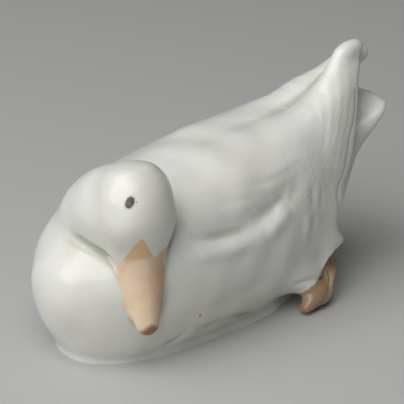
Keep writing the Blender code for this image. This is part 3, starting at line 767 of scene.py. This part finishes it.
glaze = {
    # The pooled colour is greenish glaze gathered in hollows, darkened there as painted shade.
    "white": "#E4E4DF", "warmer": "#DEDDD4", "pooled": "#B4B7A9",
    # The bill's root colour and its shade colour are painted shade, in the recessed root and on one
    # side.
    "bill": "#EFD5B8", "billWarm": "#E6C7A2", "billRootShade": "#E0B98E", "billPaintedShade": "#BE9670",
    "gape": "#F3E0D3", "nail": "#91684B",
    # The foot's crease colour and the leg's colour are painted shade: in the creases, and up the leg
    # under the body.
    "foot": "#A5876A", "heel": "#C4AC8C", "footCreaseShade": "#5E4532", "leg": "#6B5240",
    # The crack colour is a painted shadow line along the creases.
    "eye": "#5C3E2B", "pupil": "#2A211C", "halo": "#A8A8AC", "speck": "#3A3834", "creaseShadow": "#565852",
    # how far a colour covers the one below it
    "pooledGlazeAndShadeShare": 0.85, "billPaintedShadeShare": 0.5, "haloShare": 0.6, "speckShare": 0.8, "creaseShadowShare": 0.7,
    # how far noise moves a colour's edge, in the unit that the edge is measured in
    "pooledFray": 0.9, "rootFray": 1.2, "billFray": 0.9, "footFray": 1.2, "creaseFray": 0.3,
    "eyeFray": 0.2,
    # angle round the bill where the nail starts highest, and the millimetres along the bill
    # that a point counts higher up for each degree beside that
    "nailMiddle": 18, "nailSlant": -0.03,
    # noise: waves per metre and detail. The tone drifts over about 30 mm and again over 8 mm,
    # and the edge of a brush stroke over 1.5 mm.
    "drift": (32, 3), "cloud": (120, 3), "brush": (700, 2), "strokes": (190, 2), "ripple": (85, 3),
    "strokeStretch": (1, 0.28, 1),
    "ior": 1.5, "roughness": 0.3, "cloudRoughness": 0.12, "coat": 0.35, "coatRoughness": 0.1,
}
# Where one thing passes into the next: places along the bill and distances from an edge in
# millimetres, angles in degrees, places on the body in metres, the rest as shares.
spans = {
    "warmer": (0.4, 0.65), "pooled": (0.1, 1.6),
    "billRootShade": (39.6, 38.0), "billWarm": (0.35, 0.7), "billPaintedShade": (0, 60), "nail": (66.8, 69.6),
    "gapeAngle": (72, 92), "gapeEnd": (47, 43), "billEdge": (-0.25, 0.45),
    "footCreaseShade": (0.2, 1.3), "heel": (0.0315, 0.0345), "leg": (0.011, 0.019), "footEdge": (-0.2, 0.7),
    "halo": (1.6, 0.9), "eye": (1.15, 0.8), "pupil": (0.3, 0.75),
    "creaseShadow": (1.4, 0.4), "creaseShadowNear": (1.6, 0.9),
    "wingRear": (0.010, 0.040), "wingTop": (0.046, 0.060), "fanLow": (61, 57), "fanHigh": (26, 40),
    "wrinkleRear": (-0.030, 0.010), "wrinkleLow": (0.040, 0.052), "wrinkleHigh": (0.078, 0.064),
}
eyes = {
    "near": (36.5, -56.3, 81.8), "farAngle": 82.0, "farReach": 17.7,
    # half breadth, half length and reach into the head, and the oval's tilt in degrees
    "half": (1.7, 2.45), "depth": 5.0, "tilt": 36.0,
    "pupilGap": 0.2, "pupilFray": 0.5,
}
# Dirt in pinholes of the glaze: place and radius, and the shares of it where the soft edge
# starts and ends.
specks = [((38.1, -54.1, 81.9), 0.28), ((35.7, -19.8, 19.1), 0.55), ((30.1, 31.7, 40.0), 0.3)]
speckEdge = (1.5, 0.6)
creaseShadowWidth = {"least": 0.02, "drift": 0.45}
bumps = {
    "linePitch": 3.2, "lineDrift": 16, "lines": 0.035, "strokes": 0.42, "ripple": 0.6, "wrinkles": 0.5,
    "wrinkleScale": 300, "wrinkleDetail": 3.0, "wrinkleSwirl": 1.6,
    "distance": 0.0007, "strength": 0.6,
}


# Middle of each eye and unit vectors across it, along it and out of the head.
def eyePlaces():
    origin, down, crown, side = headFrame()
    near = np.array(eyes["near"])
    turn, tilt = math.radians(eyes["farAngle"]), math.radians(eyes["tilt"])
    far = origin + (near - origin) @ down * down
    far = far + eyes["farReach"] * (math.cos(turn) * crown + math.sin(turn) * side)
    places = []
    for centre in (near, far):
        outward = centre - origin - ((centre - origin) @ down) * down
        outward = outward / np.linalg.norm(outward)
        level = np.cross(outward, down)
        long = math.cos(tilt) * down - math.sin(tilt) * level
        short = math.cos(tilt) * level + math.sin(tilt) * down
        places.append((centre, short, long, outward))
    return places


# Fired porcelain under a clear gloss glaze with thin overglaze colours. To the eye: a milky
# white, a little greenish grey where glaze pools in the folds, darker there as painted shade,
# soft wide highlights under a thin sharp one, and colour that thins at its brushed edges.
def glazedPorcelain(shift):
    material, tree = startMaterial("glazedPorcelain")

    def node(kind, settings=None, inputs=None):
        return addNode(tree, kind, settings, inputs)

    def maths(operation, first, second=0.0):
        return node("ShaderNodeMath", {"operation": operation}, {0: first, 1: second}).outputs[0]

    def plus(first, second):
        return maths("ADD", first, second)

    def times(first, second):
        return maths("MULTIPLY", first, second)

    # value + (noise - 0.5) * amount
    def frayed(value, noise, amount):
        return plus(value, times(maths("SUBTRACT", noise, 0.5), amount))

    def vectors(operation, inputs, output="Value"):
        return node("ShaderNodeVectorMath", {"operation": operation}, inputs).outputs[output]

    def field(name):
        return node("ShaderNodeAttribute", {"attribute_name": name}).outputs["Fac"]

    def ramp(value, span):
        return node("ShaderNodeMapRange", {"interpolation_type": "SMOOTHSTEP"},
                    {"Value": value, "From Min": span[0], "From Max": span[1]}).outputs["Result"]

    def over(name, value):
        return ramp(value, spans[name])

    def ink(name):
        return linear(glaze[name])

    def mixed(factor, first, second):
        mix = node("ShaderNodeMix", {"data_type": "RGBA"}, {"Factor": factor})
        for socket, value in ((mix.inputs[6], first), (mix.inputs[7], second)):
            if isinstance(value, bpy.types.NodeSocket):
                tree.links.new(value, socket)
            else:
                socket.default_value = value
        return mix.outputs[2]

    place = node("ShaderNodeTexCoord").outputs["Object"]
    separate = node("ShaderNodeSeparateXYZ", {}, {"Vector": place})
    alongBody, height = separate.outputs["Y"], separate.outputs["Z"]

    def noise(name, stretch=(1, 1, 1)):
        spread = node("ShaderNodeMapping", {}, {"Vector": place, "Scale": stretch}).outputs[0]
        inputs = {"Vector": spread, "Scale": glaze[name][0], "Detail": glaze[name][1]}
        return node("ShaderNodeTexNoise", {}, inputs).outputs["Fac"]

    drift, cloud, brush = noise("drift"), noise("cloud"), noise("brush")
    pooled = field("pooled")

    # Milky white that drifts warmer at random, and greenish grey where glaze pools in hollows, darkened
    # there as painted shade.
    def whiteColour():
        white = mixed(over("warmer", drift), ink("white"), ink("warmer"))
        gathered = over("pooled", frayed(pooled, cloud, glaze["pooledFray"]))
        return mixed(times(gathered, glaze["pooledGlazeAndShadeShare"]), white, ink("pooled"))

    # Painted shade darkens its recessed root above the plate and one side of it; paler and pinker at
    # the gape, with a brown nail.
    def billColour():
        along, angle = field("billAlong"), field("billAngle")
        bill = mixed(over("billWarm", cloud), ink("bill"), ink("billWarm"))
        # Painted shade: the bill darkens on one side, from its top round over 60 degrees.
        bill = mixed(times(over("billPaintedShade", angle), glaze["billPaintedShadeShare"]), bill, ink("billPaintedShade"))
        # Painted shade in the recess at the bill's root, with brushed edges.
        bill = mixed(over("billRootShade", frayed(along, brush, glaze["rootFray"])), bill, ink("billRootShade"))
        gape = times(over("gapeAngle", maths("ABSOLUTE", angle)), over("gapeEnd", along))
        bill = mixed(gape, bill, ink("gape"))
        beside = maths("ABSOLUTE", maths("SUBTRACT", angle, glaze["nailMiddle"]))
        nail = over("nail", plus(along, times(beside, glaze["nailSlant"])))
        return mixed(nail, bill, ink("nail"))

    # Painted shade: browner in the creases, and darker up the leg, under the body.
    def footColour():
        crease = over("footCreaseShade", plus(pooled, times(cloud, glaze["creaseFray"])))
        foot = mixed(crease, ink("foot"), ink("footCreaseShade"))
        foot = mixed(over("heel", alongBody), foot, ink("heel"))
        # Painted shade: darker up the leg, under the body.
        return mixed(over("leg", height), foot, ink("leg"))

    # A brown oval with two darker touches in a soft grey bloom.
    def withEye(colour, centre, short, long, outward):
        offset = vectors("SUBTRACT", {0: place, 1: tuple((centre + shift) * mm)}, "Vector")
        parts = []
        for axis, half in zip((short, long, outward), (*eyes["half"], eyes["depth"])):
            parts.append(vectors("DOT_PRODUCT", {0: offset, 1: tuple(axis / (half * mm))}))
        flat = node("ShaderNodeCombineXYZ", {}, dict(enumerate(parts))).outputs[0]
        away = frayed(vectors("LENGTH", {0: flat}), brush, glaze["eyeFray"])
        colour = mixed(times(over("halo", away), glaze["haloShare"]), colour, ink("halo"))
        spot = maths("ABSOLUTE", maths("SUBTRACT", parts[1], eyes["pupilGap"]))
        spot = plus(spot, times(brush, eyes["pupilFray"]))
        return mixed(over("eye", away), colour, mixed(over("pupil", spot), ink("eye"), ink("pupil")))

    def withSpeck(colour, centre, size):
        away = vectors("DISTANCE", {0: place, 1: tuple((np.array(centre) + shift) * mm)})
        spot = ramp(away, [size * share * mm for share in speckEdge])
        return mixed(times(spot, glaze["speckShare"]), colour, ink("speck"))

    # Painted shadow lines along the creases, whose width changes, so that they break here and there.
    def withCreaseShadows(colour):
        width = plus(times(cloud, creaseShadowWidth["drift"]), creaseShadowWidth["least"])
        beside = maths("DIVIDE", maths("ABSOLUTE", field("creaseShadowBeside")), width)
        line = times(over("creaseShadow", beside), over("creaseShadowNear", field("creaseShadowNear")))
        return mixed(times(line, glaze["creaseShadowShare"]), colour, ink("creaseShadow"))

    # Fine lines fanned from the wing tips, strokes along the back, the glaze's slow ripple, and
    # wrinkles in the middle of the flank.
    def surface():
        turn = field("wingTurn")
        fanned = plus(turn, times(drift, bumps["lineDrift"]))
        lines = maths("SINE", times(fanned, 2 * math.pi / bumps["linePitch"]))
        wing = times(over("wingRear", alongBody), over("wingTop", height))
        wing = times(times(wing, over("fanLow", turn)), over("fanHigh", turn))
        wrinkled = times(over("wrinkleRear", alongBody), over("wrinkleLow", height))
        wrinkled = times(wrinkled, over("wrinkleHigh", height))
        wrinkles = node("ShaderNodeTexNoise", {}, {
            "Vector": place, "Scale": bumps["wrinkleScale"], "Detail": bumps["wrinkleDetail"],
            "Distortion": bumps["wrinkleSwirl"],
        }).outputs["Fac"]
        strokes = times(noise("strokes", glaze["strokeStretch"]), bumps["strokes"])
        rise = plus(times(times(lines, wing), bumps["lines"]), strokes)
        rise = plus(rise, times(noise("ripple"), bumps["ripple"]))
        rise = plus(rise, times(times(wrinkles, wrinkled), bumps["wrinkles"]))
        return node("ShaderNodeBump", {}, {
            "Height": rise, "Distance": bumps["distance"], "Strength": bumps["strength"],
        }).outputs[0]

    onBill = over("billEdge", frayed(field("billInk"), brush, glaze["billFray"]))
    onFoot = over("footEdge", frayed(field("footInk"), brush, glaze["footFray"]))
    colour = mixed(onBill, whiteColour(), billColour())
    colour = mixed(onFoot, colour, footColour())
    for eye in eyePlaces():
        colour = withEye(colour, *eye)
    for centre, size in specks:
        colour = withSpeck(colour, centre, size)
    colour = withCreaseShadows(colour)
    bump = surface()
    shader = node("ShaderNodeBsdfPrincipled", {}, {
        "Base Color": colour, "Normal": bump, "Coat Normal": bump,
        "Roughness": plus(times(cloud, glaze["cloudRoughness"]), glaze["roughness"]),
        "IOR": glaze["ior"], "Coat Weight": glaze["coat"], "Coat Roughness": glaze["coatRoughness"],
    })
    node("ShaderNodeOutputMaterial", {}, {"Surface": shader.outputs[0]})
    return material


studio = {
    "floorSize": 4.0, "floor": "#B8B8B6", "floorRoughness": 0.7,
    "world": "#E6E7E9", "worldStrength": 0.04,
    # name, azimuth, elevation, distance, size, watts
    "lamps": [("key", 8, 48, 1.3, 1.7, 23.0), ("top", 60, 82, 1.3, 1.2, 3.5)],
    # camera's place as seen from the duck, the point it looks at, the breadth of a pixel
    # there, and the photo's breadth in pixels
    "azimuth": 50.0, "elevation": 25.0, "distance": 0.9, "aim": (13.5, 0.0, 57.0),
    "sensor": 36.0, "pixelSize": 0.42, "pixels": 404,
}


def floorMaterial():
    material, tree = startMaterial("paleMattPaper")
    shader = addNode(tree, "ShaderNodeBsdfPrincipled", {}, {
        "Base Color": linear(studio["floor"]), "Roughness": studio["floorRoughness"],
    })
    addNode(tree, "ShaderNodeOutputMaterial", {}, {"Surface": shader.outputs[0]})
    return material


# Unit vector from the duck towards a place at that azimuth from its breast and elevation.
def towards(azimuth, elevation):
    a, e = math.radians(azimuth), math.radians(elevation)
    return Vector((math.sin(a) * math.cos(e), -math.cos(a) * math.cos(e), math.sin(e)))


# Puts a lamp or camera at a distance from the aim, looking at it. Both look along their -Z.
def placedTowards(name, content, aim, azimuth, elevation, distance):
    item = placed(name, content)
    way = towards(azimuth, elevation)
    item.location = aim + way * distance
    item.rotation_euler = way.to_track_quat("Z", "Y").to_euler()
    return item


def buildStudio(shift):
    half = studio["floorSize"] / 2
    mesh = bpy.data.meshes.new("floor")
    corners = [(-half, -half, 0), (half, -half, 0), (half, half, 0), (-half, half, 0)]
    mesh.from_pydata(corners, [], [(0, 1, 2, 3)])
    mesh.materials.append(floorMaterial())
    floor = placed("floor", mesh)

    world = bpy.data.worlds.new("softRoom")
    world.use_nodes = True
    background = world.node_tree.nodes["Background"]
    background.inputs["Color"].default_value = linear(studio["world"])
    background.inputs["Strength"].default_value = studio["worldStrength"]
    bpy.context.scene.world = world

    aim = Vector((np.array(studio["aim"]) + shift) * mm)
    for name, azimuth, elevation, distance, size, watts in studio["lamps"]:
        lamp = bpy.data.lights.new(name, "AREA")
        lamp.shape, lamp.size, lamp.energy = "SQUARE", size, watts
        placedTowards(name, lamp, aim, azimuth, elevation, distance)

    # focal length = sensor's breadth * distance / breadth of the view at the aim
    lens = bpy.data.cameras.new("camera")
    lens.sensor_width = studio["sensor"]
    width = studio["pixels"] * studio["pixelSize"] * mm
    lens.lens = studio["sensor"] * studio["distance"] / width
    place = (studio["azimuth"], studio["elevation"], studio["distance"])
    camera = placedTowards("camera", lens, aim, *place)
    bpy.context.scene.camera = camera
    bpy.context.scene.view_settings.view_transform = "Standard"
    print("studio: floor, lamps and camera placed")


duck, shift = buildDuck()
duck.data.materials.clear()
duck.data.materials.append(glazedPorcelain(shift))
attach(duck, "root")
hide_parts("duck")
buildStudio(shift)
